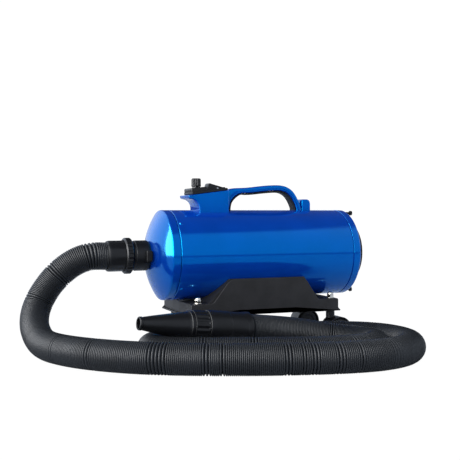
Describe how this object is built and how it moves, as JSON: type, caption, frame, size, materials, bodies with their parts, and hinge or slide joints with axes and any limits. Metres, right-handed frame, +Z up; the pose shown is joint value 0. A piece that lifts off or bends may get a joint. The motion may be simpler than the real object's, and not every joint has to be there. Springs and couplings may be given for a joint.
{
  "type": "shop vacuum",
  "caption": "Blue drum blower with a carrying handle, a moulded cradle on swivel casters, and a black corrugated hose with a tapered nozzle.",
  "frame": {"origin": "bottom centre of the machine on the floor, measured without the free hose and its fittings", "axes": "+X along the barrel from the hose outlet to the air intake, +Y to the far side, +Z up"},
  "size_m": [0.7116, 0.5119, 0.334],
  "materials": {
    "blue_enamel": "gloss",
    "steel": "brushed",
    "nickel": "polished",
    "aluminium": "cast",
    "copper": "wound",
    "board": "matte",
    "foam": "open cell",
    "hose_plastic": "satin",
    "soft_rubber": "matte",
    "hose_fitting": "satin",
    "control_black": "satin",
    "cradle_black": "fine texture",
    "black_plastic": "matte"
  },
  "bodies": {
    "frame": {"barrel": "blue_enamel", "outlet_dome": "blue_enamel", "intake_dome": "blue_enamel", "shell_screws": "blue_enamel", "outlet_adapter": "hose_fitting", "intake_grille": "black_plastic", "grille_clamp": "black_plastic", "filter_foam": "foam", "cover_screws": "black_plastic", "lead_gland": "black_plastic", "fan_case": "steel", "motor_can": "steel", "stator": "copper", "front_bearing": "steel", "rear_bearing": "steel", "fan_cushion": "foam", "motor_spider": "black_plastic", "brush_holders": "copper", "control_box": "blue_enamel", "switch_panel": "control_black", "control_board": "board", "speed_dial": "steel", "rocker_pin": "steel", "handle": "blue_enamel", "handle_grip": "soft_rubber", "handle_anchor": "blue_enamel", "cradle_plate_near": "cradle_black", "cradle_plate_far": "cradle_black", "cradle_deck_left": "cradle_black", "cradle_deck_right": "cradle_black", "cradle_saddle": "cradle_black", "caster_stems": "steel", "acorn_nuts": "nickel", "hose_cuff": "hose_fitting", "hose": "hose_plastic", "nozzle_cuff": "hose_fitting"},
    "fan_rotor": {"rotor": "steel", "impeller": "aluminium"},
    "knob": {"speed_knob": "control_black", "dial_shaft": "steel"},
    "rocker_switch": {"rocker": "control_black"},
    "release_button": {"release_tab": "hose_fitting"},
    "hose_lock": {"lock_ring": "hose_fitting"},
    "nozzle_head": {"nozzle": "hose_fitting", "nozzle_coupling": "hose_fitting"},
    "caster_nl": {"caster_hood_nl": "black_plastic", "caster_axle_nl": "steel"},
    "wheels_nl": {"caster_wheels_nl": "soft_rubber"},
    "caster_nr": {"caster_hood_nr": "black_plastic", "caster_axle_nr": "steel"},
    "wheels_nr": {"caster_wheels_nr": "soft_rubber"},
    "caster_fl": {"caster_hood_fl": "black_plastic", "caster_axle_fl": "steel"},
    "wheels_fl": {"caster_wheels_fl": "soft_rubber"},
    "caster_fr": {"caster_hood_fr": "black_plastic", "caster_axle_fr": "steel"},
    "wheels_fr": {"caster_wheels_fr": "soft_rubber"}
  },
  "joints": [
    {"name": "fan_spin", "type": "hinge", "parent": "frame", "child": "fan_rotor", "pos_m": [0.03, 0, 0.18], "axis": [1, 0, 0], "continuous": true},
    {"name": "knob_turn", "type": "hinge", "parent": "frame", "child": "knob", "pos_m": [-0.097, 0, 0.317], "axis": [0, 0, 1], "range_deg": [-270, 0]},
    {"name": "rocker_tip", "type": "hinge", "parent": "frame", "child": "rocker_switch", "pos_m": [-0.058, 0, 0.314], "axis": [0, 1, 0], "range_deg": [-14, 0]},
    {"name": "release_push", "type": "slide", "parent": "frame", "child": "release_button", "axis": [0, 1, 0], "range_m": [0, 0.002], "stiffness_N_per_m": 200},
    {"name": "lock_ring_turn", "type": "hinge", "parent": "frame", "child": "hose_lock", "pos_m": [-0.241, 0, 0.18], "axis": [1, 0, 0], "range_deg": [0, 30]},
    {"name": "nozzle_swivel", "type": "hinge", "parent": "frame", "child": "nozzle_head", "pos_m": [-0.16984, -0.21047, 0.0653], "axis": [-0.9904, -0.0866, 0.108], "continuous": true},
    {"name": "swivel_nl", "type": "hinge", "parent": "frame", "child": "caster_nl", "pos_m": [-0.1185, -0.072, 0.055], "axis": [0, 0, 1], "continuous": true},
    {"name": "roll_nl", "type": "hinge", "parent": "caster_nl", "child": "wheels_nl", "pos_m": [-0.1045, -0.072, 0.023], "axis": [0, 1, 0], "continuous": true},
    {"name": "swivel_nr", "type": "hinge", "parent": "frame", "child": "caster_nr", "pos_m": [0.1715, -0.072, 0.055], "axis": [0, 0, 1], "continuous": true},
    {"name": "roll_nr", "type": "hinge", "parent": "caster_nr", "child": "wheels_nr", "pos_m": [0.1855, -0.072, 0.023], "axis": [0, 1, 0], "continuous": true},
    {"name": "swivel_fl", "type": "hinge", "parent": "frame", "child": "caster_fl", "pos_m": [-0.1185, 0.072, 0.055], "axis": [0, 0, 1], "continuous": true},
    {"name": "roll_fl", "type": "hinge", "parent": "caster_fl", "child": "wheels_fl", "pos_m": [-0.1045, 0.072, 0.023], "axis": [0, 1, 0], "continuous": true},
    {"name": "swivel_fr", "type": "hinge", "parent": "frame", "child": "caster_fr", "pos_m": [0.1715, 0.072, 0.055], "axis": [0, 0, 1], "continuous": true},
    {"name": "roll_fr", "type": "hinge", "parent": "caster_fr", "child": "wheels_fr", "pos_m": [0.1855, 0.072, 0.023], "axis": [0, 1, 0], "continuous": true}
  ]
}
